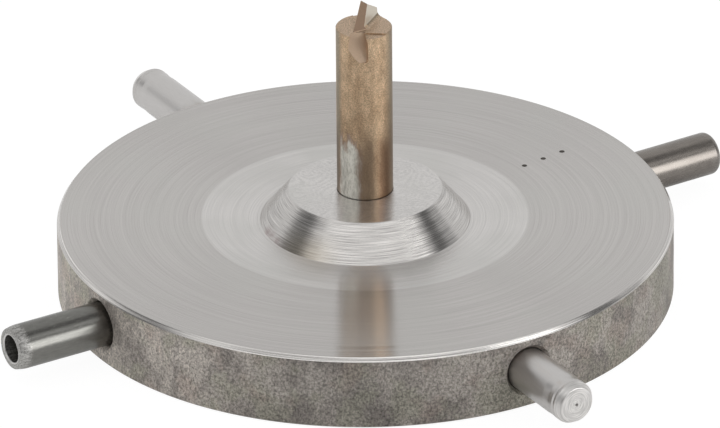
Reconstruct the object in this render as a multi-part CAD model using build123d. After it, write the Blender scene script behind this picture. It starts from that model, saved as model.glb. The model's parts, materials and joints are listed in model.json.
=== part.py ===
from build123d import *
import math
import os

# A hand-turned capstan: a turned disc with a conical boss, a fixed spindle with one ground
# tooth on its end, and four radial spokes held in blind holes in the rim.
# Millimetres, +Z up the spindle. The origin is on the axis, at the disc's underside.

# disc
DISC_RADIUS = 55.0
DISC_THICKNESS = 13.6
RIM_CHAMFER_WIDTH = 0.57
RIM_CHAMFER_HEIGHT = 0.75
UNDERSIDE_BREAK = 0.2
DISH_RADIUS = 29.3              # inside this radius the face falls towards the boss
DISH_DEPTH = 0.35
FOOT_GROOVE_WIDTH = 0.5         # runout groove left by the tool at the boss's foot
FOOT_GROOVE_DEPTH = 0.12

# boss
BOSS_FOOT_RADIUS = 18.8
BOSS_TOP_RADIUS = 13.85
BOSS_HEIGHT = 5.6               # above the flat outer face
BOSS_EDGE_BREAK = 0.1
BORE_MOUTH_BREAK = 0.18

# spindle
SPINDLE_RADIUS = 5.0
SPINDLE_STAND = 37.6            # its end above the flat outer face
SPINDLE_EDGE_BREAK = 0.15
SPINDLE_FOOT_CHAMFER = 0.3      # its foot is flush with the underside
UNDERCUT_WIDTH = 1.3            # grinding undercut between the pressed seat and the running length
UNDERCUT_DEPTH = 0.2
UNDERCUT_SHOW = 0.15            # how much of it stands above the boss

# tooth on the spindle's end: a blade that starts at a ground rake face and runs back to the rim
TOOTH_TIP = (-0.50, 0.69, 4.72)  # its highest corner, from the centre of the spindle's end
TOOTH_HEADING = 67.3             # way the blade runs, from +X
TOOTH_THICKNESS = 1.32           # at its foot
TOOTH_DRAFT = 4.6                # lean of its right flank
TOOTH_FILLET = 1.0               # along the foot of its right flank
TOOTH_ROOT = 1.0                 # how far it is carried down inside the spindle
RAKE_HEADING = 26.6              # level line of the rake face, from +X
RAKE_LEAN = 26.4                 # from the vertical
RELIEF_HEIGHT = 4.56             # height of the top's plane on the spindle's axis
RELIEF_HEADING = 66.0            # way the top falls, from +X
RELIEF_SLOPE = 31.0              # from the horizontal
LIP_HEADING = 73.0               # the small steeper facet behind the tip
LIP_SLOPE = 58.0
LAND_DEPTH = 0.2                 # lands ground beside the tooth and in front of it
LEFT_LAND_X = -1.9               # left edge of the land beside the tooth
FRONT_LAND_POINT = (0.0, -2.75)  # on the back edge of the land in front of the tooth
FRONT_LAND_HEADING = -4.3

# flute ground into the spindle below the tooth
FLUTE_CORNER = (-2.07, -2.67)    # where its floor meets the spindle's end and the tooth
FLUTE_HEADING = 12.0             # level line of its floor, from +X
FLUTE_LEAN = 27.0                # from the vertical
FLUTE_LEFT, FLUTE_RIGHT = -2.9, 0.75
FLUTE_MOUTH_LEFT, FLUTE_MOUTH_RIGHT = -2.5, 0.25
FLUTE_SHOULDER = 1.4             # depth at which the mouth reaches the full width
FLUTE_LENGTH = 4.85
FLUTE_LEFT_ROUND, FLUTE_RIGHT_ROUND = 1.6, 0.6
FLUTE_WALL_DRAFT = 7.0

# spokes
SPOKE_DEPTH = 20.0               # length held inside the disc
SPOKE_CLEARANCE = 0.02           # radial, in its hole
SPOKE_FOOT_BREAK = 0.5
HOLE_MOUTH_DEPTH = 0.8           # countersink at the rim
HOLE_POINT_ANGLE = 118.0         # drill point at the bottom of the hole
DOWEL_CHAMFER_LENGTH = 1.5
DOWEL_CHAMFER_DEPTH = 0.32
DOWEL_ROUND = 1.2                # rounded end of the plain dowel
TURNED_CHAMFER_LENGTH = 1.3
TURNED_CHAMFER_DEPTH = 0.7
NECK_START, NECK_END = 1.9, 5.2  # shallow turned neck, from the end face
NECK_DEPTH = 0.1
PIP_RADIUS = 0.28                # centre mark left by facing
PIP_DEPTH = 0.15

# extraction hole in the end of the tapped dowel
THREAD_HOLE_RADIUS = 2.1         # M5 tapping size
THREAD_HOLE_LENGTH = 10.0
COUNTERBORE_RADIUS = 2.5
COUNTERBORE_DEPTH = 2.8
COUNTERBORE_BREAK = 0.22

# name: azimuth from +X, depth of the axis below the face, radius of the free end from the
# disc's axis, own radius
SPOKES = {
    "dowel_spoke_tapped": (211.0, 6.65, 72.85, 4.0),
    "dowel_spoke_plain": (32.1, 7.55, 74.15, 3.9),
    "turned_spoke_short": (301.3, 6.65, 70.4, 3.9),
    "turned_spoke_long": (120.9, 6.7, 77.6, 3.9),
}

# three punch dots on the face, in line
DOT_RADIUS = 0.5
DOT_DEPTH = 0.28
DOT_COUNT = 3
DOT_SPACING = 4.4
DOT_ROW_CENTRE = (32.1, 22.2)
DOT_ROW_HEADING = 39.0

FACE_Z = DISC_THICKNESS
BOSS_Z = FACE_Z + BOSS_HEIGHT
SPINDLE_TOP = FACE_Z + SPINDLE_STAND
TOOL = 40.0                      # larger than anything that a cutting block has to clear
DRILL_POINT = 1 / math.tan(math.radians(HOLE_POINT_ANGLE / 2))  # its length per unit of radius


def unit(azimuth, elevation=0.0):
    """Direction with the given azimuth from +X and elevation above the XY plane."""
    a, e = math.radians(azimuth), math.radians(elevation)
    return Vector(math.cos(a) * math.cos(e), math.sin(a) * math.cos(e), math.sin(e))


def block_beyond(point, normal):
    """Block that fills the space on the normal's side of a plane."""
    bottom = (Align.CENTER, Align.CENTER, Align.MIN)
    return Plane(origin=point, z_dir=normal) * Box(TOOL, TOOL, TOOL / 2, align=bottom)


def in_front_of(point, heading, lean):
    """Everything in front of a ground plane that leans back from the vertical."""
    return block_beyond(point, -unit(heading + 90, -lean))


def above(point, heading, slope):
    """Everything above a plane that falls towards this heading."""
    return block_beyond(point, unit(heading, 90 - slope))


def on_spindle_end(x, y, z=0.0):
    """Point given from the centre of the spindle's end."""
    return Vector(x, y, SPINDLE_TOP + z)


def radial_plane(name, radius):
    """Plane square to a spoke's axis at this radius from the disc's axis, facing out."""
    azimuth, depth = SPOKES[name][:2]
    out = unit(azimuth)
    return Plane(origin=out * radius + Vector(0, 0, FACE_Z - depth), x_dir=(0, 0, 1), z_dir=out)


def turned(outline):
    """Solid turned about Z from (radius, height) points that start and end on the axis."""
    section = make_face(Plane.XZ * Polyline(*outline, close=True))
    return revolve(section, Axis.Z)


def disc_blank():
    """The disc and its boss, without holes."""
    groove_z = FACE_Z - DISH_DEPTH - FOOT_GROOVE_DEPTH
    groove_r = BOSS_FOOT_RADIUS + FOOT_GROOVE_WIDTH
    return turned([
        (0, 0),
        (DISC_RADIUS - UNDERSIDE_BREAK, 0),
        (DISC_RADIUS, UNDERSIDE_BREAK),
        (DISC_RADIUS, FACE_Z - RIM_CHAMFER_HEIGHT),
        (DISC_RADIUS - RIM_CHAMFER_WIDTH, FACE_Z),
        (DISH_RADIUS, FACE_Z),
        (groove_r, FACE_Z - DISH_DEPTH),
        (groove_r - FOOT_GROOVE_DEPTH, groove_z),
        (BOSS_FOOT_RADIUS, groove_z),
        (BOSS_TOP_RADIUS, BOSS_Z - BOSS_EDGE_BREAK),
        (BOSS_TOP_RADIUS - BOSS_EDGE_BREAK, BOSS_Z),
        (0, BOSS_Z),
    ])


def spindle_bore():
    """Through bore with a broken edge at both mouths."""
    wide = SPINDLE_RADIUS + BORE_MOUTH_BREAK
    return turned([
        (0, -1),
        (wide, -1),
        (wide, 0),
        (SPINDLE_RADIUS, BORE_MOUTH_BREAK),
        (SPINDLE_RADIUS, BOSS_Z - BORE_MOUTH_BREAK),
        (wide, BOSS_Z),
        (wide, BOSS_Z + 1),
        (0, BOSS_Z + 1),
    ])


def spoke_hole(name):
    """Blind drilled hole for one spoke, countersunk where it breaks through the rim."""
    radius = SPOKES[name][3] + SPOKE_CLEARANCE
    over = 1.0
    mouth = SPOKE_DEPTH - HOLE_MOUTH_DEPTH
    end = SPOKE_DEPTH + over
    tool = turned([
        (0, -radius * DRILL_POINT),
        (radius, 0),
        (radius, mouth),
        (radius + end - mouth, end),
        (0, end),
    ])
    return radial_plane(name, DISC_RADIUS - SPOKE_DEPTH) * tool


def punch_dots():
    """Row of small conical dots in the face."""
    along = unit(DOT_ROW_HEADING)
    dots = []
    for i in range(DOT_COUNT):
        offset = (i - (DOT_COUNT - 1) / 2) * DOT_SPACING
        place = Vector(*DOT_ROW_CENTRE, FACE_Z - DOT_DEPTH / 2) + along * offset
        dots.append(Location(place) * Cone(0.02, DOT_RADIUS, DOT_DEPTH))
    return dots


def capstan_disc():
    disc = disc_blank() - spindle_bore()
    for name in SPOKES:
        disc -= spoke_hole(name)
    for dot in punch_dots():
        disc -= dot
    return disc


def spindle_shank():
    """The plain round spindle, from its foot in the bore to its flat end."""
    undercut_top = BOSS_Z + UNDERCUT_SHOW
    undercut_radius = SPINDLE_RADIUS - UNDERCUT_DEPTH
    return turned([
        (0, 0),
        (SPINDLE_RADIUS - SPINDLE_FOOT_CHAMFER, 0),
        (SPINDLE_RADIUS, SPINDLE_FOOT_CHAMFER),
        (SPINDLE_RADIUS, undercut_top - UNDERCUT_WIDTH),
        (undercut_radius, undercut_top - UNDERCUT_WIDTH),
        (undercut_radius, undercut_top),
        (SPINDLE_RADIUS, undercut_top),
        (SPINDLE_RADIUS, SPINDLE_TOP - SPINDLE_EDGE_BREAK),
        (SPINDLE_RADIUS - SPINDLE_EDGE_BREAK, SPINDLE_TOP),
        (0, SPINDLE_TOP),
    ])


def tooth():
    """The blade: upright on the left, drafted and filleted on the right, with a ground top."""
    reach = 2 * SPINDLE_RADIUS
    sink = 0.02                  # lets the fillet run out just below the spindle's end
    narrow = TOOTH_THICKNESS - reach * math.tan(math.radians(TOOTH_DRAFT))
    wide = TOOTH_THICKNESS + TOOTH_FILLET
    section = make_face(Polyline(
        (0, -TOOTH_ROOT),
        (wide, -TOOTH_ROOT),
        (wide, -sink),
        (TOOTH_THICKNESS, -sink),
        (narrow, reach),
        (0, reach),
        close=True))
    foot = section.vertices().sort_by_distance((TOOTH_THICKNESS, -sink))[0]
    section = fillet(foot, TOOTH_FILLET)
    across = Plane(
        origin=on_spindle_end(*TOOTH_TIP[:2]),
        x_dir=unit(TOOTH_HEADING - 90),
        z_dir=-unit(TOOTH_HEADING))
    blade = extrude(across * section, amount=reach, both=True)
    blade &= Location((0, 0, SPINDLE_TOP)) * Cylinder(SPINDLE_RADIUS, 2 * reach)
    tip = on_spindle_end(*TOOTH_TIP)
    relief = above(on_spindle_end(0, 0, RELIEF_HEIGHT), RELIEF_HEADING, RELIEF_SLOPE)
    blade -= relief & above(tip, LIP_HEADING, LIP_SLOPE)
    return blade - in_front_of(tip, RAKE_HEADING, RAKE_LEAN)


def flute():
    """Pocket under the tooth: a drafted slot from the front, down to a leaning floor."""
    outline = Polyline(
        (FLUTE_MOUTH_LEFT, 0.5),
        (FLUTE_LEFT, -FLUTE_SHOULDER),
        (FLUTE_LEFT, -FLUTE_LENGTH),
        (FLUTE_RIGHT, -FLUTE_LENGTH),
        (FLUTE_RIGHT, -FLUTE_SHOULDER),
        (FLUTE_MOUTH_RIGHT, 0.5),
        close=True)
    face = make_face(outline)
    for side, radius in ((FLUTE_LEFT, FLUTE_LEFT_ROUND), (FLUTE_RIGHT, FLUTE_RIGHT_ROUND)):
        corner = face.vertices().sort_by_distance((side, -FLUTE_LENGTH))[0]
        face = fillet(corner, radius)
    front = Plane(origin=on_spindle_end(0, -SPINDLE_RADIUS), x_dir=(1, 0, 0), z_dir=(0, -1, 0))
    inward = extrude(front * face, amount=-SPINDLE_RADIUS, taper=FLUTE_WALL_DRAFT)
    outward = extrude(front * face, amount=1.0)
    floor = in_front_of(on_spindle_end(*FLUTE_CORNER), FLUTE_HEADING, FLUTE_LEAN)
    return (inward + outward) & floor


def lands():
    """Shallow ground lands: one beside the tooth's left flank and one in front of it."""
    raised = block_beyond(on_spindle_end(0, 0, -LAND_DEPTH), Vector(0, 0, 1))
    beside = block_beyond(on_spindle_end(*TOOTH_TIP[:2]), unit(TOOTH_HEADING + 90))
    beside &= block_beyond(on_spindle_end(LEFT_LAND_X, 0), Vector(1, 0, 0))
    before = in_front_of(on_spindle_end(*FRONT_LAND_POINT), FRONT_LAND_HEADING, 0)
    before &= block_beyond(on_spindle_end(0, 0), Vector(1, 0, 0))
    return [raised & beside, raised & before]


def spindle():
    body = spindle_shank() + tooth()
    for land in lands():
        body -= land
    return body - flute()


def extraction_hole(end):
    """Tapping-size hole with a counterbore, as an extractable dowel has in its free end."""
    wide = COUNTERBORE_RADIUS + COUNTERBORE_BREAK
    bottom = end - COUNTERBORE_DEPTH - THREAD_HOLE_LENGTH
    return turned([
        (0, bottom - THREAD_HOLE_RADIUS * DRILL_POINT),
        (THREAD_HOLE_RADIUS, bottom),
        (THREAD_HOLE_RADIUS, end - COUNTERBORE_DEPTH),
        (COUNTERBORE_RADIUS, end - COUNTERBORE_DEPTH),
        (COUNTERBORE_RADIUS, end - COUNTERBORE_BREAK),
        (wide, end),
        (wide, end + 1),
        (0, end + 1),
    ])


def tapped_dowel(radius, length):
    """Hardened dowel pin, chamfered, with an extraction hole in its free end."""
    pin = turned([
        (0, 0),
        (radius - SPOKE_FOOT_BREAK, 0),
        (radius, SPOKE_FOOT_BREAK),
        (radius, length - DOWEL_CHAMFER_LENGTH),
        (radius - DOWEL_CHAMFER_DEPTH, length),
        (0, length),
    ])
    return pin - extraction_hole(length)


def plain_dowel(radius, length):
    """Hardened dowel pin with a rounded free end."""
    pin = turned([
        (0, 0),
        (radius - SPOKE_FOOT_BREAK, 0),
        (radius, SPOKE_FOOT_BREAK),
        (radius, length),
        (0, length),
    ])
    return fillet(pin.edges().group_by(Axis.Z)[-1], DOWEL_ROUND)


def turned_pin(radius, length):
    """Pin turned on a lathe: a chamfered and faced end, with a shallow neck behind it."""
    pin = turned([
        (0, 0),
        (radius - SPOKE_FOOT_BREAK, 0),
        (radius, SPOKE_FOOT_BREAK),
        (radius, length - NECK_END),
        (radius - NECK_DEPTH, length - (NECK_START + NECK_END) / 2),
        (radius, length - NECK_START),
        (radius, length - TURNED_CHAMFER_LENGTH),
        (radius - TURNED_CHAMFER_DEPTH, length),
        (0, length),
    ])
    return pin - Location((0, 0, length - PIP_DEPTH / 2)) * Cone(0.02, PIP_RADIUS, PIP_DEPTH)


def spoke(name):
    """One spoke, built along Z from the end inside the disc and laid in its hole."""
    end_radius, radius = SPOKES[name][2:]
    length = end_radius - (DISC_RADIUS - SPOKE_DEPTH)
    shapes = {"dowel_spoke_tapped": tapped_dowel, "dowel_spoke_plain": plain_dowel}
    shape = shapes.get(name, turned_pin)
    return radial_plane(name, DISC_RADIUS - SPOKE_DEPTH) * shape(radius, length)


os.makedirs("parts", exist_ok=True)
export_step(capstan_disc(), "parts/capstan_disc.step")
export_step(spindle(), "parts/spindle.step")
for spoke_name in SPOKES:
    export_step(spoke(spoke_name), f"parts/{spoke_name}.step")
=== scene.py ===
import json
import math
import random

import bmesh
import bpy
from mathutils import Matrix, Vector, noise


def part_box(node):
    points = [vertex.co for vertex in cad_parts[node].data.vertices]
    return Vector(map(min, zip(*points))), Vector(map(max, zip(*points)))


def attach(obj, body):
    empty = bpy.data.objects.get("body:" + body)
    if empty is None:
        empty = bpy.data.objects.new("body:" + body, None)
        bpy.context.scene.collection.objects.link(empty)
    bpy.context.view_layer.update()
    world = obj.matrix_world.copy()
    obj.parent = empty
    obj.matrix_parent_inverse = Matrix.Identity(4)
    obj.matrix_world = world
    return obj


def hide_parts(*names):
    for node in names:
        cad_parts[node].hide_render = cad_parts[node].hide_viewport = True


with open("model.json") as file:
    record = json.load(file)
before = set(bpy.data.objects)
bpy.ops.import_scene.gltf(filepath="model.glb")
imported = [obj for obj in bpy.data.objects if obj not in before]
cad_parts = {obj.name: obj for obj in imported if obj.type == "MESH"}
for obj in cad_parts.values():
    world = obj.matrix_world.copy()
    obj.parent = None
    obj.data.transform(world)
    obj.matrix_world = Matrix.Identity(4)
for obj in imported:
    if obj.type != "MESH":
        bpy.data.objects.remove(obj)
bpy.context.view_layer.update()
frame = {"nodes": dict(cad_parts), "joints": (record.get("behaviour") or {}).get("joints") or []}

# Lengths are in millimetres unless a comment says metres, and MM turns them into metres.
MM = 0.001

# The disc's outline. Its radius and heights come from the frame.
DISC_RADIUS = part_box("capstan_disc")[1].x / MM
BOSS_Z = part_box("capstan_disc")[1].z / MM
BOSS_HEIGHT = 5.6
FACE_Z = BOSS_Z - BOSS_HEIGHT
BOSS_TOP_RADIUS = 13.85
BOSS_FOOT_RADIUS = 18.8
BOSS_EDGE = 0.1
DISH_RADIUS = 29.3
DISH_DEPTH = 0.35
DISH_ROUND = 2.0
GROOVE_WIDTH = 0.5              # groove round the boss's foot
GROOVE_DEPTH = 0.05
RIM_CHAMFER_WIDTH = 0.57
RIM_CHAMFER_HEIGHT = 0.75
UNDERSIDE_BREAK = 0.2
BORE_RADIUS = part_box("spindle")[1].x / MM + 0.01
BORE_MOUTH = 0.05
EDGE_ROUND = 0.03               # rounding of the outer edges
CORNER_ROUND = 0.04             # rounding of the corners between zones
DISC_SEGMENTS = 360
ROUND_STEPS = 4                 # steps that round off one corner of an outline

# Tool marks of the disc
TOOLED_INSET = 0.08             # from the edge of a cone to its first groove
TOOLED_TOP = 0.2                # from the boss's top down to the last groove of its cone
CONE_PITCH = 0.26
CONE_CUT = 0.006
CHAMFER_PITCH = 0.3
CHAMFER_CUT = 0.003
FACE_LINES = (54.0, 53.3, 52.2, 50.4)
FACE_LINE_CUT = 0.012
FACE_LINE_HALF_WIDTH = 0.12

# Rolled rim: how deep its wide and its small hollows are, how wide, and how deep it is on average
RIM_ROW = 0.6                   # height of one row of the rim's mesh
WIDE_HOLLOW_DEPTH = 0.03
WIDE_HOLLOW_SIZE = 3.0
SMALL_HOLLOW_DEPTH = 0.02
SMALL_HOLLOW_SIZE = 1.1
MEAN_HOLLOW = 0.015

# Spoke holes
HOLE_DEPTH = 20.0
HOLE_GAP = 0.1
HOLE_MOUTH = 0.8
HOLE_MOUTH_ROUND = 0.3
HOLE_POINT_SLOPE = 0.6          # length of the drill point per unit of its radius
CUTTER_PAST = 1.0               # how far a drill stands out of the rim

# Punch dots on the face
DOT_RADIUS = 0.5
DOT_DEPTH = 0.28
DOT_PAST = 0.2                  # how far a punch stands out of the face, as a part of its size
DOT_SPACING = 4.4
DOT_ROW_CENTRE = Vector((32.1, 22.2))
DOT_ROW_HEADING = 39.0          # degrees from +X
DOT_SEGMENTS = 32

# Spokes. Places along a spoke are measured inwards from its free end, so they are negative.
SPOKE_BODIES = ("dowel_spoke_tapped", "dowel_spoke_plain", "turned_spoke_short", "turned_spoke_long")
SPOKE_SEGMENTS = 96
FOOT_BREAK = 0.5

TAPER_START = -1.5
TAPER_ROUND = 7.0
DOWEL_CHAMFER = 0.32
CLEARANCE_RADIUS = 2.5
CLEARANCE_MOUTH = 0.16
THREAD_RADIUS = 2.1
THREAD_START = -2.8
THREAD_END = -12.8
THREAD_PITCH = 0.8
THREAD_DEPTH = 0.4
THREAD_ROWS = 8                 # rows of mesh in one turn of the thread
CROWN_RADIUS = 1.2              # rounding of the plain dowel's end
CROWN_STEPS = 8

PIN_CHAMFER_WIDTH = 0.7
PIN_CHAMFER_START = -1.2
PIN_GROOVE = (-1.45, -1.85, -2.25)      # its outer edge, its lowest point and its inner edge
PIN_GROOVE_DEPTH = 0.14
PIN_NECK = (-2.25, -3.55, -5.2)         # the same of the neck behind it
PIN_NECK_DEPTH = 0.1
PIN_RING_PITCH = 0.36
PIN_RING_CUT = 0.022
PIN_RING_INSET = 0.15
PIP_RADIUS = 0.3
PIP_DEPTH = 0.15

# The spindle's ground end: the ways two of its faces face, and the height where it starts
GROUND_FRONT = (0.30, -0.84, 0.45)
TOOTH_FLANK = (0.92, -0.39, 0.08)
SPINDLE_END_Z = FACE_Z + 37.6

# Zones of the disc, in the order of its material slots
FACE, CONE, RIM, DRILLED = range(4)


# ---------------------------------------------------------------- turned shapes

def softened(outline):
    """Rounds corners. Takes (radius, height, rounding, zone) and gives (radius, height, zone)."""
    points = []
    for i, (r, z, rounding, zone) in enumerate(outline):
        here = Vector((r, z))
        if not rounding:
            points.append((r, z, zone))
            continue
        back = (Vector(outline[i - 1][:2]) - here).normalized()
        on = (Vector(outline[(i + 1) % len(outline)][:2]) - here).normalized()
        reach = rounding / math.tan(back.angle(on) / 2)
        for step in range(ROUND_STEPS + 1):
            t = step / ROUND_STEPS
            point = here + back * reach * (1 - t) ** 2 + on * reach * t ** 2
            points.append((point.x, point.y, zone))
    return points


def sharp(points):
    """Outline points that softened leaves as they are."""
    return [(r, z, 0, zone) for r, z, zone in points]


def ridged(start, end, zone, pitch, depth, seed):
    """Outline points from start to end with the shallow, uneven grooves that a lathe tool leaves."""
    chance = random.Random(seed)
    start, end = Vector(start), Vector(end)
    along = end - start
    inward = Vector((-along.y, along.x)).normalized()
    grooves = max(1, round(along.length / pitch))
    points = []
    for i in range(grooves):
        deep = depth * chance.uniform(0.6, 1.0)
        for part, share in ((0.0, 0.0), (0.35, 0.1), (0.6, 1.0), (0.8, 0.15)):
            point = start + along * ((i + part) / grooves) + inward * deep * share
            points.append((point.x, point.y, zone))
    return points


def divided(start, end, zone, step):
    """Outline points from start up to end, evenly spaced."""
    start, end = Vector(start), Vector(end)
    count = max(1, round((end - start).length / step))
    return [(*(start.lerp(end, i / count)), zone) for i in range(count)]


def lathe(name, outline, segments, closed=False):
    """Mesh turned about Z from (radius, height, zone); a zone is a material slot."""
    mesh = bmesh.new()
    turn = [2 * math.pi * i / segments for i in range(segments)]
    rings = []
    for r, z, _ in outline:
        if r < 1e-6:
            rings.append([mesh.verts.new((0, 0, z * MM))] * segments)
            continue
        rings.append([mesh.verts.new((r * MM * math.cos(a), r * MM * math.sin(a), z * MM)) for a in turn])
    count = len(outline) if closed else len(outline) - 1
    for i in range(count):
        low, high = rings[i], rings[(i + 1) % len(rings)]
        for j in range(segments):
            k = (j + 1) % segments
            corners = list(dict.fromkeys((low[j], low[k], high[k], high[j])))
            if len(corners) > 2:
                mesh.faces.new(corners).material_index = outline[i][2]
    bmesh.ops.recalc_face_normals(mesh, faces=mesh.faces)
    return finished(name, mesh)


def finished(name, mesh):
    """Object made from a bmesh."""
    data = bpy.data.meshes.new(name)
    mesh.to_mesh(data)
    mesh.free()
    made = bpy.data.objects.new(name, data)
    bpy.context.scene.collection.objects.link(made)
    return made


def joined(name, parts, materials):
    """One object with the meshes of several, in these materials."""
    mesh = bmesh.new()
    for part in parts:
        mesh.from_mesh(part.data)
        bpy.data.objects.remove(part)
    made = finished(name, mesh)
    for material in materials:
        made.data.materials.append(material)
    return made


def smooth(made, angle=27):
    """Smooth shading with hard edges only where faces meet at more than this angle, in degrees."""
    for face in made.data.polygons:
        face.use_smooth = True
    made.data.set_sharp_from_angle(angle=math.radians(angle))


def cut(made, cutter):
    """Cuts a shape out of an object. The cutter's materials line the cut."""
    modifier = made.modifiers.new("cut", "BOOLEAN")
    modifier.object = cutter
    modifier.solver = "EXACT"
    modifier.material_mode = "TRANSFER"
    evaluated = made.evaluated_get(bpy.context.evaluated_depsgraph_get())
    shaped = bpy.data.meshes.new_from_object(evaluated)
    made.modifiers.clear()
    made.data = shaped
    bpy.data.objects.remove(cutter)


def seen_as(piece, node, body):
    """The piece stands for a CAD node, on that body."""
    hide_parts(node)
    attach(piece, body)


# ---------------------------------------------------------------- material helpers

OWN_PLACE = "own_place"         # attribute of a spoke's mesh: each point's place in the spoke's own frame


class Graph:
    """The node tree of a material or of the world, with short calls to add and link nodes."""

    def __init__(self, name, world_tree=None, own_place=False):
        if world_tree is None:
            self.material = bpy.data.materials.new(name)
            self.material.use_nodes = True
        self.tree = world_tree or self.material.node_tree
        self.tree.nodes.clear()
        self.output = self.node("OutputMaterial" if world_tree is None else "OutputWorld")
        if own_place:
            self.coords = self.node("Attribute", attribute_name=OWN_PLACE).outputs["Vector"]
        else:
            self.coords = self.node("TexCoord").outputs["Object"]

    def node(self, kind, inputs=(), **settings):
        """Adds a node. An input takes a value or another node's output."""
        made = self.tree.nodes.new("ShaderNode" + kind)
        for key, value in settings.items():
            setattr(made, key, value)
        for key, value in dict(inputs).items():
            self.put(made.inputs[key], value)
        return made

    def put(self, socket, value):
        if isinstance(value, bpy.types.NodeSocket):
            self.tree.links.new(value, socket)
        else:
            socket.default_value = value

    def finish(self, shader):
        self.tree.links.new(shader.outputs[0], self.output.inputs["Surface"])

    # Values

    def math(self, operation, *values):
        made = self.node("Math", operation=operation)
        for socket, value in zip(made.inputs, values):
            self.put(socket, value)
        return made.outputs[0]

    def times(self, value, *others):
        """All these values multiplied."""
        for other in others:
            value = self.math("MULTIPLY", value, other)
        return value

    def linear(self, value, slope, start):
        """A value times a slope, plus a start."""
        return self.math("MULTIPLY_ADD", value, slope, start)

    def wavered(self, value, by, reach):
        """A value moved up and down by a noise, over this reach."""
        return self.linear(self.math("SUBTRACT", by, 0.5), reach, value)

    def blend(self, factor, a, b):
        """A value that goes from a to b with the factor."""
        return self.node("Mix", {0: factor, 2: a, 3: b}).outputs[0]

    def between(self, value, low, high, to_low=0.0, to_high=1.0):
        """Smooth step of a value from low to high."""
        return self.node("MapRange", {
            "Value": value, "From Min": low, "From Max": high, "To Min": to_low, "To Max": to_high},
            interpolation_type="SMOOTHSTEP").outputs["Result"]

    def fades(self, value, low, high):
        """Smooth step of a value that is 1 below low and 0 above high."""
        return self.between(value, low, high, 1.0, 0.0)

    def band(self, value, rise, fall):
        """1 between a rise and a fall, which are each given by where they start and end."""
        return self.times(self.between(value, *rise), self.fades(value, *fall))

    # Places

    def xyz(self, vector=None):
        return self.node("SeparateXYZ", {"Vector": vector or self.coords}).outputs

    def radius(self):
        """Distance from the Z axis."""
        x, y, _ = self.xyz()
        squares = self.linear(x, x, self.times(y, y))
        return self.math("DIVIDE", self.math("SQRT", squares), MM)

    def height(self):
        """Height along the Z axis."""
        return self.math("DIVIDE", self.xyz()[2], MM)

    def bearing(self):
        """Angle round the Z axis from +X, in radians."""
        x, y, _ = self.xyz()
        return self.math("ARCTAN2", y, x)

    def around(self):
        """Unit direction from the Z axis, which turns once round it."""
        flat = self.node("VectorMath", {0: self.coords, 1: (1.0, 1.0, 0.0)}, operation="MULTIPLY")
        return self.node("VectorMath", {0: flat.outputs[0]}, operation="NORMALIZE").outputs[0]

    def along_turn(self):
        """Tangent that follows the turning, round the Z axis."""
        return self.node("Tangent", direction_type="RADIAL", axis="Z").outputs[0]

    def facing(self, way, low, high):
        """1 where the surface faces this way, by its own normal, and 0 elsewhere."""
        own = self.node("TexCoord").outputs["Normal"]
        dot = self.node("VectorMath", {0: own, 1: way}, operation="DOT_PRODUCT").outputs["Value"]
        return self.between(dot, low, high)

    # Textures

    def stretched(self, x, y, z):
        """Coordinates in units of these sizes."""
        scale = tuple(1 / (size * MM) for size in (x, y, z))
        return self.node("VectorMath", {0: self.coords, 1: scale}, operation="MULTIPLY").outputs[0]

    def noise(self, vector, detail=3.0, roughness=0.5):
        return self.node("TexNoise", {
            "Vector": vector, "Scale": 1.0, "Detail": detail, "Roughness": roughness}).outputs["Fac"]

    def noise_line(self, value, detail):
        """Noise along one value only."""
        return self.node("TexNoise", {
            "W": value, "Scale": 1.0, "Detail": detail}, noise_dimensions="1D").outputs["Fac"]

    def ring_marks(self, pitch, arcs, detail=2.0):
        """Lines left by a turning tool: noise across the radius, broken into arcs round the axis."""
        spread = self.node("VectorMath", {0: self.around(), 1: (arcs, arcs, 0.0)}, operation="MULTIPLY")
        across = self.node("CombineXYZ", {"Z": self.math("DIVIDE", self.radius(), pitch)})
        both = self.node("VectorMath", {0: spread.outputs[0], 1: across.outputs[0]}, operation="ADD")
        return self.noise(both.outputs[0], detail=detail)

    def arc_marks(self, cell, pitch):
        """Crossing arcs left by a rubbed stone: rings round scattered centres."""
        cells = self.node("TexVoronoi", {
            "Vector": self.stretched(cell, cell, cell), "Scale": 1.0, "Smoothness": 0.6},
            feature="SMOOTH_F1").outputs["Distance"]
        return self.math("SINE", self.times(cells, 2 * math.pi * cell / pitch))

    # Colours and shaders

    def mix(self, factor, a, b, blend="MIX"):
        """A colour that goes from a to b with the factor."""
        made = self.node("Mix", data_type="RGBA", blend_type=blend, clamp_factor=True)
        self.put(made.inputs["Factor"], factor)
        self.put(made.inputs["A"], rgba(a))
        self.put(made.inputs["B"], rgba(b))
        return made.outputs["Result"]

    def shaded(self, colour, factor, dark, light):
        """Multiplies a colour by a grey between dark and light."""
        return self.mix(1.0, colour, self.mix(factor, (dark,) * 3, (light,) * 3), "MULTIPLY")

    def bump(self, height, distance):
        return self.node("Bump", {"Height": height, "Distance": distance * MM}).outputs["Normal"]

    def steel(self, **inputs):
        """Finishes the material with one Principled shader."""
        named = {key.replace("_", " ").title(): value for key, value in inputs.items()}
        self.finish(self.node("BsdfPrincipled", named))
        return self.material


def rgba(colour):
    """Gives a colour of three numbers its fourth. A link stays as it is."""
    return (*colour, 1.0) if isinstance(colour, tuple) else colour


# ---------------------------------------------------------------- materials

ACROSS = 0.25                   # quarter turn: gloss spreads across the turned grooves

# Turned faces, boss cone and rim chamfer
STEEL = (0.60, 0.578, 0.56)
DISH_STEEL = (0.72, 0.70, 0.682)
CLOUDED_STEEL = (0.60, 0.595, 0.565)
CUT_STEEL = (0.64, 0.62, 0.60)
STRAW = (0.60, 0.53, 0.42)
PURPLE = (0.33, 0.255, 0.25)

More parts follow.
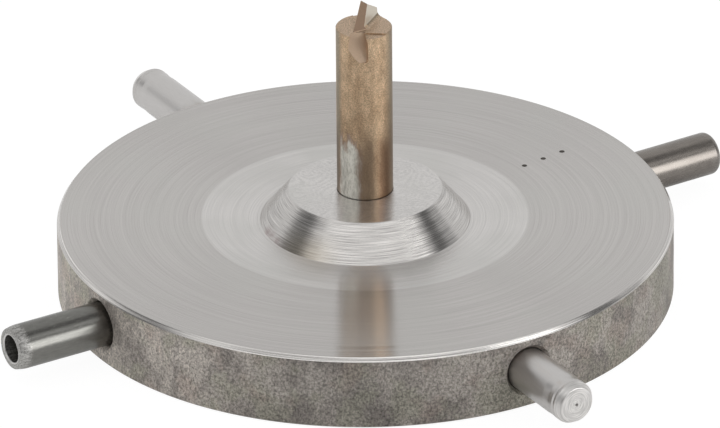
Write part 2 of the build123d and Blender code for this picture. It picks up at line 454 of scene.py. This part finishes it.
# Rolled rim and hole walls
DARK_SCALE = (0.236, 0.213, 0.194)
PALE_SCALE = (0.40, 0.366, 0.332)
OLIVE_SCALE = (0.325, 0.312, 0.255)
RUST = (0.33, 0.275, 0.24)
RUST_OFFSET = (7.0, 3.0, 5.0)   # keeps the rust apart from the other blotches
# Painted shade: the hole walls are coloured near black for the shade inside the holes
HOLE_PAINTED_SHADE = (0.05, 0.045, 0.04)
HOLE_OIL = (0.15, 0.135, 0.12)

# Dowels
COOL_DARK = (0.20, 0.198, 0.186)
COOL_LIGHT = (0.255, 0.252, 0.234)
WARM_DARK = (0.25, 0.225, 0.205)
WARM_LIGHT = (0.36, 0.33, 0.30)
PIT_GREY = (0.55, 0.54, 0.51)
RUBBED_DARK = (0.22, 0.215, 0.205)
RUBBED_LIGHT = (0.62, 0.61, 0.59)
MOUTH_GREY = (0.78, 0.77, 0.75)
DOWEL_DARK_NEAR_DISC = (0.13, 0.12, 0.108)

# Pins
PIN_DARK = (0.61, 0.59, 0.575)
PIN_LIGHT = (0.69, 0.675, 0.66)
FACED_STEEL = (0.78, 0.762, 0.742)
# Painted shade in the pip's dimple
PIP_PAINTED_SHADE = (0.22, 0.21, 0.20)
PIN_DARK_NEAR_DISC = (0.36, 0.325, 0.28)

# Spindle
TINT_BROWN = (0.54, 0.378, 0.24)
TINT_STRAW = (0.74, 0.545, 0.36)
TINT_OLIVE = (0.30, 0.27, 0.205)
TINT_DULL = (0.235, 0.195, 0.14)
SPECK_BROWN = (0.26, 0.18, 0.11)
PATCH_EDGE = (0.33, 0.19, 0.14)
BARE_DARK = (0.64, 0.62, 0.55)
BARE_LIGHT = (1.0, 0.98, 0.90)
STRIP_BROWN = (0.22, 0.16, 0.11)
COPPER = (0.19, 0.105, 0.06)
LEFT_BROWN = (0.20, 0.15, 0.12)
END_BROWN = (0.56, 0.42, 0.30)
GROUND_BRIGHT = (0.66, 0.49, 0.355)
GROUND_DARK = (0.19, 0.13, 0.09)
FLANK_GREY = (0.80, 0.74, 0.64)


def turned_face():
    """Faces of the disc: fine concentric turning, brighter in the dish, rubbed on the boss."""
    g = Graph("turned_face")
    r = g.radius()
    boss = g.fades(r, BOSS_TOP_RADIUS - 0.6, BOSS_TOP_RADIUS)
    swirl = g.arc_marks(6.0, 0.55)
    grain = g.noise(g.stretched(0.45, 0.45, 0.45), detail=4.0, roughness=0.8)
    rubbed = g.linear(swirl, 0.08, g.between(grain, 0.3, 0.7, 0.3, 0.7))
    fine = g.blend(boss, g.ring_marks(0.09, 1.6), rubbed)
    broad = g.ring_marks(0.25, 0.6, detail=3.0)
    dish = g.times(g.fades(r, DISH_RADIUS - 0.4, DISH_RADIUS + 0.25), g.between(g.height(), 1.0, 2.0))
    colour = g.mix(dish, STEEL, DISH_STEEL)
    colour = g.shaded(colour, g.between(g.linear(broad, 0.2, fine), 0.4, 0.8), 0.91, 1.07)
    cloud = g.noise(g.stretched(14, 14, 14), detail=2.0)
    colour = g.mix(g.between(cloud, 0.4, 0.7, 0.0, 0.35), colour, CLOUDED_STEEL)
    marks = g.linear(g.times(swirl, boss), 0.12, g.linear(broad, 0.1, fine))
    return g.steel(base_color=colour, metallic=1.0, roughness=g.linear(broad, 0.03, 0.21), anisotropic=1.0,
                   anisotropic_rotation=ACROSS, tangent=g.along_turn(), normal=g.bump(marks, 0.0025))


def turned_cone():
    """Boss cone and rim chamfer: coarser turning with bright, broken grooves, stained on the boss's left, and
    a painted highlight that lifts the rim chamfer.
    """
    g = Graph("turned_cone")
    r, side = g.radius(), g.bearing()
    coarse = g.ring_marks(0.05, 2.2, detail=1.5)
    fine = g.ring_marks(0.035, 5.0)
    colour = g.shaded(CUT_STEEL, g.between(coarse, 0.34, 0.66), 0.66, 1.24)
    on_boss = g.fades(r, 21.0, 22.0)
    # Painted highlight: the rim chamfer, outside the boss, is drawn 1.18 times lighter than the boss cone.
    colour = g.shaded(colour, on_boss, 1.18, 1.0)
    left_front = g.band(side, (-2.6, -2.3), (-2.2, -1.75))
    below_top = g.between(r, BOSS_TOP_RADIUS + 1.0, BOSS_FOOT_RADIUS - 0.4)
    colour = g.mix(g.times(left_front, on_boss, below_top, 0.6), colour, STRAW)
    stain = g.noise(g.stretched(2.6, 2.6, 2.6))
    left = g.band(side, (-2.95, -2.75), (-2.55, -2.35))
    foot = g.between(r, BOSS_FOOT_RADIUS - 1.5, BOSS_FOOT_RADIUS - 0.2)
    colour = g.mix(g.times(left, on_boss, foot, g.between(stain, 0.4, 0.6, 0.2, 0.8)), colour, PURPLE)
    marks = g.linear(fine, 0.3, coarse)
    return g.steel(base_color=colour, metallic=1.0, roughness=g.linear(fine, 0.08, 0.16), anisotropic=0.92,
                   anisotropic_rotation=ACROSS, tangent=g.along_turn(), normal=g.bump(marks, 0.005))


def mill_skin():
    """Rim of the bar as it was rolled: dark scale, mottled brown and grey, finely speckled, with painted
    light on its left side and painted shade at its front and back.
    """
    g = Graph("mill_skin")
    grain = g.noise(g.stretched(0.42, 0.42, 0.5), detail=5.0, roughness=0.85)
    streak = g.noise(g.stretched(0.5, 0.5, 3.0), roughness=0.6)
    blotch = g.noise(g.stretched(9.0, 9.0, 12.0), detail=4.0, roughness=0.6)
    olive = g.noise(g.stretched(8.0, 8.0, 8.0), detail=4.0, roughness=0.6)
    apart = g.node("VectorMath", {0: g.stretched(6.0, 6.0, 6.0), 1: RUST_OFFSET}, operation="ADD")
    rust = g.noise(apart.outputs[0])
    colour = g.mix(g.between(blotch, 0.41, 0.59), DARK_SCALE, PALE_SCALE)
    colour = g.mix(g.between(olive, 0.48, 0.62, 0.0, 0.7), colour, OLIVE_SCALE)
    colour = g.mix(g.between(rust, 0.52, 0.66, 0.0, 0.55), colour, RUST)
    colour = g.shaded(colour, g.between(streak, 0.34, 0.66), 0.93, 1.07)
    colour = g.shaded(colour, g.between(grain, 0.32, 0.68), 0.34, 1.60)
    # Painted light: the rim's colour is lifted towards its left side, up to 1.58 times.
    left = g.math("DIVIDE", g.xyz()[0], -DISC_RADIUS * MM)
    colour = g.shaded(colour, g.between(left, 0.25, 0.95), 1.0, 1.58)
    # Painted shade: the rim is drawn darker at its front and back.
    colour = g.shaded(colour, g.fades(g.math("ABSOLUTE", left), 0.0, 0.5), 1.0, 0.8)
    return g.steel(base_color=colour, metallic=0.5, roughness=g.linear(grain, 0.22, 0.36),
                   normal=g.bump(grain, 0.04))


def drilled_wall():
    """Walls of the holes: painted near black as the shade inside them, with oily streaks, and scored."""
    g = Graph("drilled_wall")
    score = g.noise(g.stretched(0.4, 0.4, 0.4))
    return g.steel(base_color=g.mix(score, HOLE_PAINTED_SHADE, HOLE_OIL), metallic=0.6,
                   roughness=g.linear(score, 0.3, 0.3), normal=g.bump(score, 0.02))


def dark_dowel(name, dark, light, darkens_from, above, below, roughness, wear):
    """Hardened and oiled dowel steel: dark satin, rubbed grey at its end, darker where it enters the disc.

    Above and below are painted light and shade: how much lighter or darker its upper and lower sides are
    painted. Wear is how far its end is rubbed."""
    g = Graph(name, own_place=True)
    z = g.height()
    scuff = g.noise(g.stretched(0.35, 0.35, 1.6), detail=4.0, roughness=0.65)
    cloud = g.noise(g.stretched(2.6, 2.6, 5.0))
    pits = g.noise(g.stretched(0.22, 0.22, 0.3), roughness=0.7)
    colour = g.mix(cloud, dark, light)
    up = g.math("DIVIDE", g.xyz()[1], MM)
    # Painted light and shade: the upper and lower sides are painted lighter or darker by above and below.
    colour = g.shaded(colour, g.fades(up, -2.8, 2.2), above, below)
    colour = g.shaded(colour, g.between(scuff, 0.35, 0.65), 0.93, 1.07)
    colour = g.mix(g.between(pits, 0.62, 0.72, 0.0, 0.35), colour, PIT_GREY)
    worn = g.mix(g.between(g.math("ADD", pits, scuff), 0.8, 1.15), RUBBED_DARK, RUBBED_LIGHT)
    colour = g.mix(g.between(g.wavered(z, pits, 2.0), -2.5, -1.0, 0.0, wear), colour, worn)
    mouth = g.times(g.between(z, -0.3, -0.15), g.fades(g.radius(), 2.7, 2.85))
    colour = g.mix(g.times(mouth, wear), colour, MOUTH_GREY)
    near_disc = g.wavered(z, cloud, 3.0)
    # Darker where the dowel enters the disc.
    colour = g.mix(g.between(near_disc, darkens_from, darkens_from + 3.5, 0.7, 0.0), colour, DOWEL_DARK_NEAR_DISC)
    rough = g.math("ADD", g.linear(scuff, 0.12, roughness), g.between(z, -2.4, -1.2, 0.0, 0.2 * wear))
    marks = g.math("ADD", scuff, g.times(pits, 0.5))
    return g.steel(base_color=colour, metallic=1.0, roughness=rough, normal=g.bump(marks, 0.0025))


def bright_pin():
    """Turned pin steel: satin along its length, ringed on its faced end, darker where it enters the disc."""
    g = Graph("bright_pin", own_place=True)
    z = g.height()
    scuff = g.noise(g.stretched(0.4, 0.4, 2.2), detail=4.0, roughness=0.6)
    rings = g.ring_marks(0.2, 0.9, detail=3.0)
    turning = g.noise_line(g.math("DIVIDE", z, 0.16), detail=3.0)
    on_end = g.between(z, -1.5, -1.2)
    faced = g.shaded(FACED_STEEL, g.between(rings, 0.3, 0.7), 0.76, 1.12)
    colour = g.mix(on_end, g.mix(scuff, PIN_DARK, PIN_LIGHT), faced)
    # Painted shade: the pip's dimple in the middle of the faced end is coloured dark.
    colour = g.mix(g.times(on_end, g.fades(g.radius(), 0.22, 0.34)), colour, PIP_PAINTED_SHADE)
    cloud = g.noise(g.stretched(2.0, 2.0, 3.0))
    # Darker where the pin enters the disc.
    colour = g.mix(g.between(g.wavered(z, cloud, 5.0), -19.0, -16.0, 0.4, 0.0), colour, PIN_DARK_NEAR_DISC)
    rough = g.linear(on_end, 0.12, g.linear(scuff, 0.05, 0.30))
    marks = g.blend(on_end, g.math("ADD", scuff, g.times(turning, 0.6)), g.times(rings, 2.2))
    return g.steel(base_color=colour, metallic=1.0, roughness=rough, normal=g.bump(marks, 0.002))


def heat_tint(g, side, cloud, drift, grain):
    """The spindle's straw to brown tint, olive on its left, duller on its right and darkly speckled."""
    tint = g.mix(g.between(cloud, 0.35, 0.65), TINT_BROWN, TINT_STRAW)
    tint = g.shaded(tint, g.between(drift, 0.34, 0.66), 0.90, 1.07)
    tint = g.shaded(tint, g.band(side, (-1.25, -1.0), (-0.8, -0.5)), 0.98, 1.03)
    tint = g.mix(g.times(g.band(side, (-3.1, -2.9), (-2.75, -2.45)), 0.75), tint, TINT_OLIVE)
    tint = g.mix(g.times(g.between(side, -0.85, -0.3), 0.8), tint, TINT_DULL)
    return g.shaded(tint, g.between(grain, 0.34, 0.66), 0.62, 1.34)


def bare_patch(g, tint, z, turn, cloud):
    """Lays the bare patch near the boss, with its brown edge, over the spindle's tint."""
    patch_z = g.fades(g.wavered(z, cloud, 11.0), BOSS_Z + 9.0, BOSS_Z + 13.0)
    patch = g.times(patch_z, g.band(turn, (-2.8, -2.45), (-2.0, -1.5)))
    tint = g.mix(g.between(patch, 0.02, 0.35, 0.0, 0.75), tint, PATCH_EDGE)
    brushed = g.noise(g.stretched(0.6, 0.6, 1.7), detail=5.0, roughness=0.85)
    bare = g.mix(g.between(brushed, 0.35, 0.65), BARE_DARK, BARE_LIGHT)
    return g.mix(g.between(g.linear(brushed, 0.6, patch), 0.35, 1.3), tint, bare)


def tinted_spindle():
    """Spindle steel: heat tinted, with a bare patch and dark stains near the boss and a ground end."""
    g = Graph("tinted_spindle")
    z, side = g.height(), g.bearing()
    speck = g.noise(g.stretched(0.22, 0.22, 0.28), roughness=0.75)
    grain = g.noise(g.stretched(0.24, 0.24, 0.24), detail=4.0, roughness=0.9)
    cloud = g.noise(g.stretched(2.2, 2.2, 5.0), detail=4.0, roughness=0.6)
    drift = g.noise(g.stretched(1.4, 1.4, 5.0), roughness=0.6)
    tint = heat_tint(g, side, cloud, drift, grain)
    tint = g.mix(g.between(speck, 0.54, 0.70, 0.0, 0.4), tint, SPECK_BROWN)
    turn = g.wavered(side, drift, 0.5)
    colour = bare_patch(g, tint, z, turn, cloud)
    low = g.fades(z, BOSS_Z + 8.0, BOSS_Z + 16.0)
    strip = g.band(turn, (-2.0, -1.5), (-1.45, -0.95))
    colour = g.mix(g.times(strip, low, 0.75), colour, STRIP_BROWN)
    right = g.times(g.between(turn, -1.3, -0.9), low, g.between(side, -0.7, -0.2, 1.0, 0.3))
    colour = g.mix(g.times(right, 0.85), colour, g.shaded(COPPER, grain, 0.4, 1.6))
    colour = g.mix(g.times(g.fades(side, -2.9, -2.6), low, 0.7), colour, LEFT_BROWN)
    above_end = g.between(z, SPINDLE_END_Z - 0.2, SPINDLE_END_Z + 0.2)
    end_face = g.shaded(END_BROWN, g.between(speck, 0.35, 0.65), 0.6, 1.35)
    colour = g.mix(g.facing((0, 0, 1), 0.6, 0.9), colour, end_face)
    ground = g.shaded(g.mix(above_end, GROUND_BRIGHT, GROUND_DARK), grain, 0.8, 1.2)
    colour = g.mix(g.facing(GROUND_FRONT, 0.93, 0.96), colour, ground)
    colour = g.mix(g.times(g.facing(TOOTH_FLANK, 0.9, 0.97), above_end, 0.85), colour, FLANK_GREY)
    return g.steel(base_color=colour, metallic=0.85, roughness=g.linear(grain, 0.2, 0.34),
                   normal=g.bump(grain, 0.012))


# ---------------------------------------------------------------- disc

def spoke_frame(name):
    """A spoke's own frame, with Z out along it from the middle of its free end; its length and radius."""
    joint = next(j for j in frame["joints"] if j["child"] == name)
    axis = Vector(joint["axis"])
    low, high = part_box(name)
    reach = [v.co.dot(axis) for v in frame["nodes"][name].data.vertices]
    centre = (low + high) / 2
    end = centre + axis * (max(reach) - centre.dot(axis))
    up = Vector((0, 0, 1))
    turned = Matrix((up.cross(axis), up, axis)).transposed().to_4x4()
    return Matrix.Translation(end) @ turned, (max(reach) - min(reach)) / MM, (high.z - low.z) / 2 / MM


def face_lines():
    """Fine lines that the tool left near the edge of the face."""
    half = FACE_LINE_HALF_WIDTH
    points = []
    for r in FACE_LINES:
        points += [(r + half, FACE_Z, FACE), (r, FACE_Z - FACE_LINE_CUT, FACE), (r - half, FACE_Z, FACE)]
    return points


def disc_outline():
    """The disc's section, with rounded edges, tool grooves on its cones and rows to carry the rim's pits."""
    inset = TOOLED_INSET
    groove_z = FACE_Z - DISH_DEPTH - GROOVE_DEPTH
    foot = BOSS_FOOT_RADIUS + GROOVE_WIDTH
    chamfer_z = FACE_Z - RIM_CHAMFER_HEIGHT
    chamfer_r = DISC_RADIUS - RIM_CHAMFER_WIDTH
    rim = divided((DISC_RADIUS, UNDERSIDE_BREAK + inset), (DISC_RADIUS, chamfer_z - inset), RIM, RIM_ROW)
    chamfer = ridged((DISC_RADIUS - inset, chamfer_z + inset), (chamfer_r + inset, FACE_Z - inset),
                     CONE, CHAMFER_PITCH, CHAMFER_CUT, seed=3)
    cone = ridged((BOSS_FOOT_RADIUS - inset, groove_z + inset),
                  (BOSS_TOP_RADIUS + inset, BOSS_Z - TOOLED_TOP), CONE, CONE_PITCH, CONE_CUT, seed=5)
    return softened([
        (BORE_RADIUS + BORE_MOUTH, 0, 0, FACE),
        (DISC_RADIUS - UNDERSIDE_BREAK, 0, EDGE_ROUND, CONE),
        (DISC_RADIUS, UNDERSIDE_BREAK, EDGE_ROUND, RIM),
        *sharp(rim),
        (DISC_RADIUS, chamfer_z, CORNER_ROUND, CONE),
        *sharp(chamfer),
        (chamfer_r, FACE_Z, CORNER_ROUND, FACE),
        *sharp(face_lines()),
        (DISH_RADIUS, FACE_Z, DISH_ROUND, FACE),
        (foot, FACE_Z - DISH_DEPTH, CORNER_ROUND, FACE),
        (foot - GROOVE_DEPTH, groove_z, CORNER_ROUND, FACE),
        (BOSS_FOOT_RADIUS, groove_z, CORNER_ROUND / 2, CONE),
        *sharp(cone),
        (BOSS_TOP_RADIUS, BOSS_Z - BOSS_EDGE, EDGE_ROUND, CONE),
        (BOSS_TOP_RADIUS - BOSS_EDGE, BOSS_Z, EDGE_ROUND, FACE),
        (BORE_RADIUS + BORE_MOUTH, BOSS_Z, 0, FACE),
        (BORE_RADIUS, BOSS_Z - BORE_MOUTH, 0, DRILLED),
        (BORE_RADIUS, BORE_MOUTH, 0, DRILLED),
    ])


def pit_rim(made):
    """Gives the rim the slight hollows of rolled bar."""
    rim_radius = (DISC_RADIUS - 0.005) * MM
    rim_top = (FACE_Z - RIM_CHAMFER_HEIGHT - 0.06) * MM
    for vertex in made.data.vertices:
        flat = Vector((vertex.co.x, vertex.co.y, 0))
        if flat.length < rim_radius or vertex.co.z > rim_top:
            continue
        wide = WIDE_HOLLOW_DEPTH * noise.noise(vertex.co / (WIDE_HOLLOW_SIZE * MM))
        small = SMALL_HOLLOW_DEPTH * noise.noise(vertex.co / (SMALL_HOLLOW_SIZE * MM))
        vertex.co -= flat.normalized() * max(0.0, wide + small + MEAN_HOLLOW) * MM


def hole_cutter(name):
    """Drill for one spoke's hole, with its point and with a countersink in a finish of its own."""
    placed, _, radius = spoke_frame(name)
    reach = placed.translation.xy.length / MM - DISC_RADIUS
    wide = radius + HOLE_GAP
    bottom, mouth, past = -reach - HOLE_DEPTH, -reach - HOLE_MOUTH, -reach + CUTTER_PAST
    made = lathe("drill", softened([
        (0, bottom - wide * HOLE_POINT_SLOPE, 0, 0),
        (wide, bottom, 0, 0),
        (wide, mouth, HOLE_MOUTH_ROUND, 1),
        (wide + HOLE_MOUTH + CUTTER_PAST, past, 0, 0),
        (0, past, 0, 0),
    ]), SPOKE_SEGMENTS)
    made.data.transform(placed)
    return made


def dot_cutter(place):
    """Punch for one dot."""
    made = lathe("punch", [
        (0, -DOT_DEPTH, 0),
        (DOT_RADIUS, 0, 0),
        (DOT_RADIUS * (1 + DOT_PAST), DOT_DEPTH * DOT_PAST, 0),
        (0, DOT_DEPTH * DOT_PAST, 0),
    ], DOT_SEGMENTS)
    made.data.transform(Matrix.Translation(Vector((*place, FACE_Z)) * MM))
    return made


def turned_disc():
    disc = lathe("turned_disc", disc_outline(), DISC_SEGMENTS, closed=True)
    pit_rim(disc)
    skin, drilled = mill_skin(), drilled_wall()
    for material in (turned_face(), turned_cone(), skin, drilled):
        disc.data.materials.append(material)
    heading = math.radians(DOT_ROW_HEADING)
    along = Vector((math.cos(heading), math.sin(heading)))
    drills = [hole_cutter(name) for name in SPOKE_BODIES]
    punches = [dot_cutter(DOT_ROW_CENTRE + along * DOT_SPACING * i) for i in (-1, 0, 1)]
    cut(disc, joined("drills", drills + punches, (drilled, skin)))
    smooth(disc)
    seen_as(disc, "capstan_disc", "capstan")


# ---------------------------------------------------------------- spokes

def place_spoke(made, name, material):
    """Puts a spoke into its hole. Its material still reads each point's place in the spoke's own frame."""
    own = made.data.attributes.new(OWN_PLACE, "FLOAT_VECTOR", "POINT")
    for vertex in made.data.vertices:
        own.data[vertex.index].vector = vertex.co
    made.data.transform(spoke_frame(name)[0])
    made.data.materials.append(material)
    smooth(made)
    seen_as(made, name, name)


def foot_of(radius, length):
    """The seated end, shared by all spokes."""
    return [(0, -length, 0, 0), (radius - FOOT_BREAK, -length, 0.1, 0), (radius, FOOT_BREAK - length, 0.2, 0)]


def tapped_dowel(name, material):
    """Dowel with a worn chamfer and an extraction hole, threaded below its clearance bore."""
    _, length, radius = spoke_frame(name)
    wall = divided((THREAD_RADIUS, THREAD_START - 0.1), (THREAD_RADIUS, THREAD_END + 0.1), 0,
                   THREAD_PITCH / THREAD_ROWS)
    made = lathe("dowel_tapped", softened([
        *foot_of(radius, length),
        (radius, TAPER_START, TAPER_ROUND, 0),
        (radius - DOWEL_CHAMFER, 0, 0.3, 0),
        (CLEARANCE_RADIUS + CLEARANCE_MOUTH, 0, 0.04, 0),
        (CLEARANCE_RADIUS, -CLEARANCE_MOUTH, 0.06, 0),
        (CLEARANCE_RADIUS, THREAD_START, 0, 0),
        (THREAD_RADIUS, THREAD_START, 0, 0),
        *((THREAD_RADIUS, z, 0, 0) for _, z, _ in wall),
        (THREAD_RADIUS, THREAD_END, 0, 0),
        (0, THREAD_END - THREAD_RADIUS * HOLE_POINT_SLOPE, 0, 0),
    ]), SPOKE_SEGMENTS)
    cut_thread(made)
    place_spoke(made, name, material)


def cut_thread(made):
    """Moves the wall of the extraction hole out along a helix, which runs out at both ends."""
    for vertex in made.data.vertices:
        x, y, z = vertex.co / MM
        if abs(math.hypot(x, y) - THREAD_RADIUS) < 0.01 and THREAD_END < z < THREAD_START:
            phase = (z / THREAD_PITCH - math.atan2(y, x) / (2 * math.pi)) % 1
            crest = 1 - abs(2 * phase - 1)
            run_out = min(1.0, (THREAD_START - z) / THREAD_PITCH, (z - THREAD_END) / THREAD_PITCH)
            vertex.co.xy *= 1 + crest * run_out * THREAD_DEPTH / THREAD_RADIUS


def plain_dowel(name, material):
    """Dowel with a rounded end."""
    _, length, radius = spoke_frame(name)
    flat = radius - CROWN_RADIUS
    quarter = [math.pi / 2 * i / CROWN_STEPS for i in range(CROWN_STEPS + 1)]
    crown = [(flat + CROWN_RADIUS * math.cos(a), CROWN_RADIUS * (math.sin(a) - 1), 0, 0) for a in quarter]
    made = lathe("dowel_plain", softened([*foot_of(radius, length), *crown, (0, 0, 0, 0)]), SPOKE_SEGMENTS)
    place_spoke(made, name, material)


def turned_pin(label, name, material, seed):
    """Pin with a shallow neck, a groove, a chamfer and a faced end that shows the tool's rings and pip."""
    _, length, radius = spoke_frame(name)
    end = radius - PIN_CHAMFER_WIDTH
    _, neck_low, neck_end = PIN_NECK
    groove_edge, groove_low, groove_end = PIN_GROOVE
    rings = ridged((end - PIN_RING_INSET, 0), (PIP_RADIUS + PIN_RING_INSET, 0), 0,
                   PIN_RING_PITCH, PIN_RING_CUT, seed)
    made = lathe(label, softened([
        *foot_of(radius, length),
        (radius, neck_end, 1.0, 0),
        (radius - PIN_NECK_DEPTH, neck_low, 1.0, 0),
        (radius, groove_end, 0.3, 0),
        (radius - PIN_GROOVE_DEPTH, groove_low, 0.15, 0),
        (radius, groove_edge, 0.2, 0),
        (radius, PIN_CHAMFER_START, 0.2, 0),
        (end, 0, 0.3, 0),
        *sharp(rings),
        (PIP_RADIUS, 0, 0, 0),
        (PIP_RADIUS * 0.4, 0.02 - PIP_DEPTH, 0.03, 0),
        (0, -PIP_DEPTH, 0, 0),
    ]), SPOKE_SEGMENTS)
    place_spoke(made, name, material)


# ---------------------------------------------------------------- the object

def spindle():
    """The CAD spindle is shown as it is, in its own material."""
    frame["nodes"]["spindle"].material_slots[0].material = tinted_spindle()


turned_disc()
spindle()
# Above and below paint light and shade on each dowel's upper and lower sides.
COOL_DOWEL = dark_dowel("dark_dowel_cool", COOL_DARK, COOL_LIGHT, darkens_from=-17.5, above=0.90, below=1.15,
                        roughness=0.19, wear=0.8)
WARM_DOWEL = dark_dowel("dark_dowel_warm", WARM_DARK, WARM_LIGHT, darkens_from=-19.0, above=0.86, below=0.66,
                        roughness=0.21, wear=0.1)
tapped_dowel("dowel_spoke_tapped", COOL_DOWEL)
plain_dowel("dowel_spoke_plain", WARM_DOWEL)
BRIGHT_PIN = bright_pin()
turned_pin("pin_short", "turned_spoke_short", BRIGHT_PIN, seed=11)
turned_pin("pin_long", "turned_spoke_long", BRIGHT_PIN, seed=12)


# ---------------------------------------------------------------- studio

# Panels of the light tent, in degrees: azimuth from and to, how soft its sides are, how far it leans
# per degree of elevation (upright at LEAN_LEVEL), elevation from and to, how soft its ends are, and
# the brightness it adds. Azimuth 0 is on the camera's side, and azimuth grows to the right.
PANELS = [
    (-66, 88, 4, -0.2, 43, 66, 4, 0.32),       # overhead front panel
    (-66, 88, 8, -0.2, 66, 120, 4, -0.40),     # darker above it
    (-66, 88, 4, -0.2, 43, 57, 3, 0.33),       # its brighter lower edge
    (88, 104, 2.5, 0.0, 6, 47, 4, -0.40),      # gap to its right
    (88, 118, 2.5, 0.0, 6, 47, 4, -0.40),      # and its lighter far part
    (80, 150, 5, -1.0, 49, 70, 4, -0.62),      # the same gap, wider above
    (-112, -79, 9, 0.0, 20, 50, 5, -0.76),     # gap to its left
    (46, 74, 4, 0.0, -4, 31, 3, 3.5),          # narrow lamp at the right
    (48, 78, 4, 0.0, 31, 44, 3, -0.50),        # gap above the lamp
    (-52, 46, 10, 0.0, -10, 39, 4, -0.74),     # camera's side, below the front panel
]
LEAN_LEVEL = 42
BASE_LIGHT = 0.94

FLOOR_REACH = 3.0               # metres from the middle to an edge
FLOOR_DROP = 0.02               # below the underside, so that the two don't share a plane
FLOOR_GREY, FLOOR_GLOW = 0.80, 0.22
SEEN_GREY, SEEN_GLOW = 0.12, 0.94

CAMERA_ELEVATION, CAMERA_ROLL = 26.90, 0.47     # degrees
CAMERA_DISTANCE = 2.09          # metres
CENTRE_RIGHT, CENTRE_UP = 0.95, -0.33           # of the face's middle, from the picture's middle
SENSOR_WIDTH, LENS = 36.0, 586.3


def studio_world():
    """A light tent: an even pale surround with brighter panels and darker gaps."""
    world = bpy.data.worlds.new("studio")
    bpy.context.scene.world = world
    world.use_nodes = True
    g = Graph("studio", world.node_tree)
    x, y, z = g.xyz(g.node("TexCoord").outputs["Generated"])
    azimuth = g.math("DEGREES", g.math("ARCTAN2", x, g.times(y, -1.0)))
    elevation = g.math("DEGREES", g.math("ARCSINE", z))
    light = BASE_LIGHT
    for left, right, soft, lean, low, high, edge, gain in PANELS:
        across = g.linear(g.math("SUBTRACT", elevation, LEAN_LEVEL), -lean, azimuth)
        sides = g.band(across, (left - soft, left + soft), (right - soft, right + soft))
        ends = g.band(elevation, (low - edge, low + edge), (high - edge, high + edge))
        light = g.linear(g.times(sides, ends), gain, light)
    g.finish(g.node("Background", {"Strength": light}))


def grey(level):
    return (level, level, level, 1.0)


def glowing_ground(g, level, glow):
    """Matt grey that glows white by this much."""
    matt = g.node("BsdfDiffuse", {"Color": grey(level)})
    light = g.node("Emission", {"Color": grey(1.0), "Strength": glow})
    return g.node("AddShader", {0: matt.outputs[0], 1: light.outputs[0]}).outputs[0]


def floor():
    """Pale ground, clear from below. Where the camera sees it directly it is lit up, as in a cut-out shot."""
    mesh = bpy.data.meshes.new("floor")
    square = ((-1, -1), (1, -1), (1, 1), (-1, 1))
    corners = [(FLOOR_REACH * x, FLOOR_REACH * y, -FLOOR_DROP * MM) for x, y in square]
    mesh.from_pydata(corners, [], [(0, 1, 2, 3)])
    made = bpy.data.objects.new("floor", mesh)
    bpy.context.scene.collection.objects.link(made)
    g = Graph("pale_floor")
    plain = glowing_ground(g, FLOOR_GREY, FLOOR_GLOW)
    seen = glowing_ground(g, SEEN_GREY, SEEN_GLOW)
    direct = g.node("LightPath").outputs["Is Camera Ray"]
    above = g.node("MixShader", {0: direct, 1: plain, 2: seen}).outputs[0]
    below = g.node("NewGeometry").outputs["Backfacing"]
    clear = g.node("BsdfTransparent").outputs[0]
    g.finish(g.node("MixShader", {0: below, 1: above, 2: clear}))
    mesh.materials.append(g.material)


def camera():
    """Long lens from 27 degrees above, as a product is shot."""
    elevation, roll = math.radians(CAMERA_ELEVATION), math.radians(CAMERA_ROLL)
    right, up = Vector((1, 0, 0)), Vector((0, math.sin(elevation), math.cos(elevation)))
    back = Vector((0, -math.cos(elevation), math.sin(elevation)))
    tilted_right = right * math.cos(roll) - up * math.sin(roll)
    tilted_up = right * math.sin(roll) + up * math.cos(roll)
    aside = tilted_right * (CENTRE_RIGHT * MM) + tilted_up * (CENTRE_UP * MM)
    place = Vector((0, 0, FACE_Z * MM)) + back * CAMERA_DISTANCE - aside
    data = bpy.data.cameras.new("camera")
    data.sensor_width = SENSOR_WIDTH
    data.lens = LENS
    made = bpy.data.objects.new("camera", data)
    bpy.context.scene.collection.objects.link(made)
    turned = Matrix((tilted_right, tilted_up, back)).transposed().to_4x4()
    made.matrix_world = Matrix.Translation(place) @ turned
    bpy.context.scene.camera = made


studio_world()
floor()
camera()
bpy.context.scene.view_settings.view_transform = "Standard"
